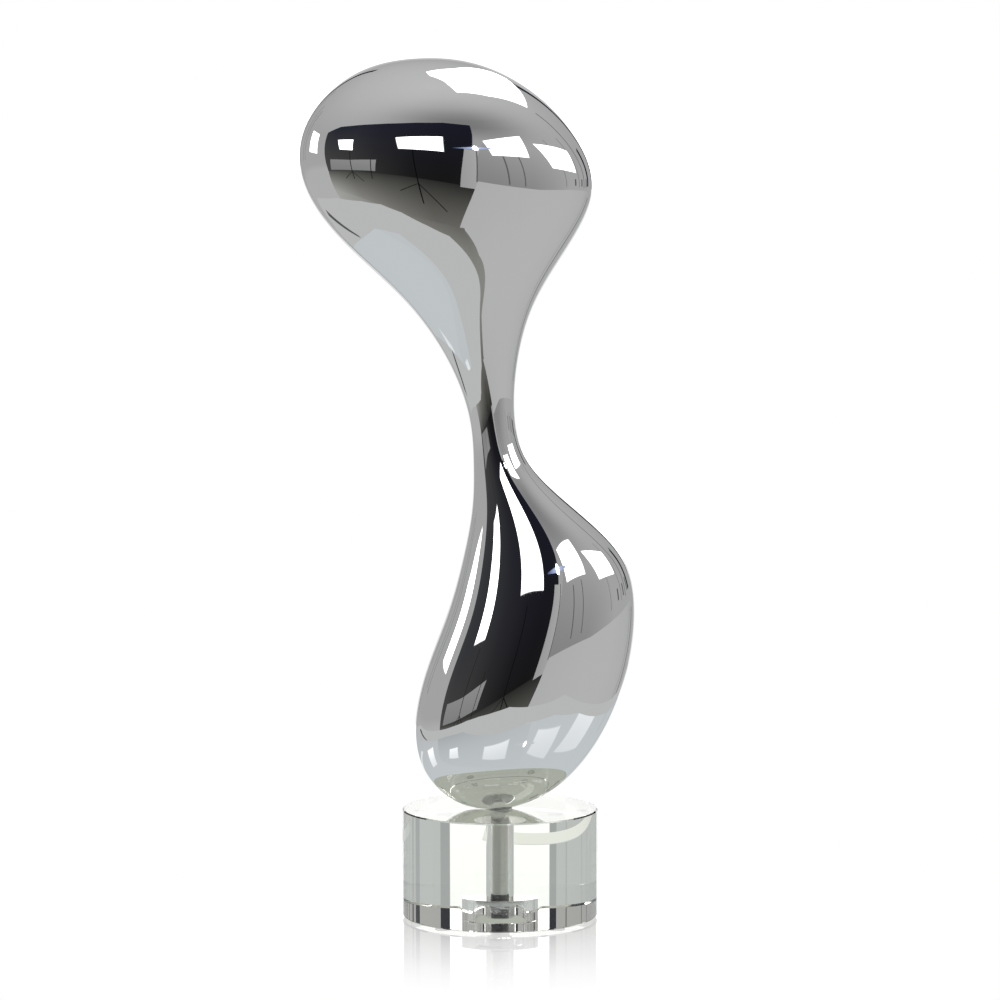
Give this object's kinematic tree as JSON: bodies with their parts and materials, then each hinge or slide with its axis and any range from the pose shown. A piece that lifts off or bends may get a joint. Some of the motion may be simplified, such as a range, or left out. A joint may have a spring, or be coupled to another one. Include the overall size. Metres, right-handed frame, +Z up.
{
  "type": "abstract table sculpture",
  "caption": "Tall polished free-form sculpture with two lobes and a slender neck, bolted by a hidden rod to a thick round crystal base.",
  "frame": {"origin": "on the table, on the shared axis of the glass disc and the clamping rod", "axes": "+Z up along the rod, X along the lean of the form with its upper lobe towards -X, front of the form towards -Y"},
  "size_m": [0.2162, 0.127, 0.5575],
  "materials": {
    "polished_form": "polished",
    "crystal": "polished",
    "rod_steel": "plain bright steel",
    "boss_steel": "turned steel, as machined",
    "fastener_plating": "bright zinc or nickel plate",
    "clear_vinyl": "clear soft vinyl",
    "dark_rubber": "black rubber, matt",
    "fibre": "smooth pale nylon"
  },
  "bodies": {
    "root": {"upper_front_shell": "polished_form", "upper_rear_shell": "polished_form", "lower_front_shell": "polished_form", "lower_rear_shell": "polished_form", "threaded_boss": "boss_steel", "mounting_rod": "rod_steel", "seat_gasket": "clear_vinyl", "crystal_base": "crystal", "centring_bush": "dark_rubber", "cushion_washer": "fibre", "clamp_washer": "fastener_plating", "lock_washer": "fastener_plating", "hex_nut": "fastener_plating", "bumper_foot_1": "clear_vinyl", "bumper_foot_2": "clear_vinyl", "bumper_foot_3": "clear_vinyl", "bumper_foot_4": "clear_vinyl"}
  },
  "joints": []
}
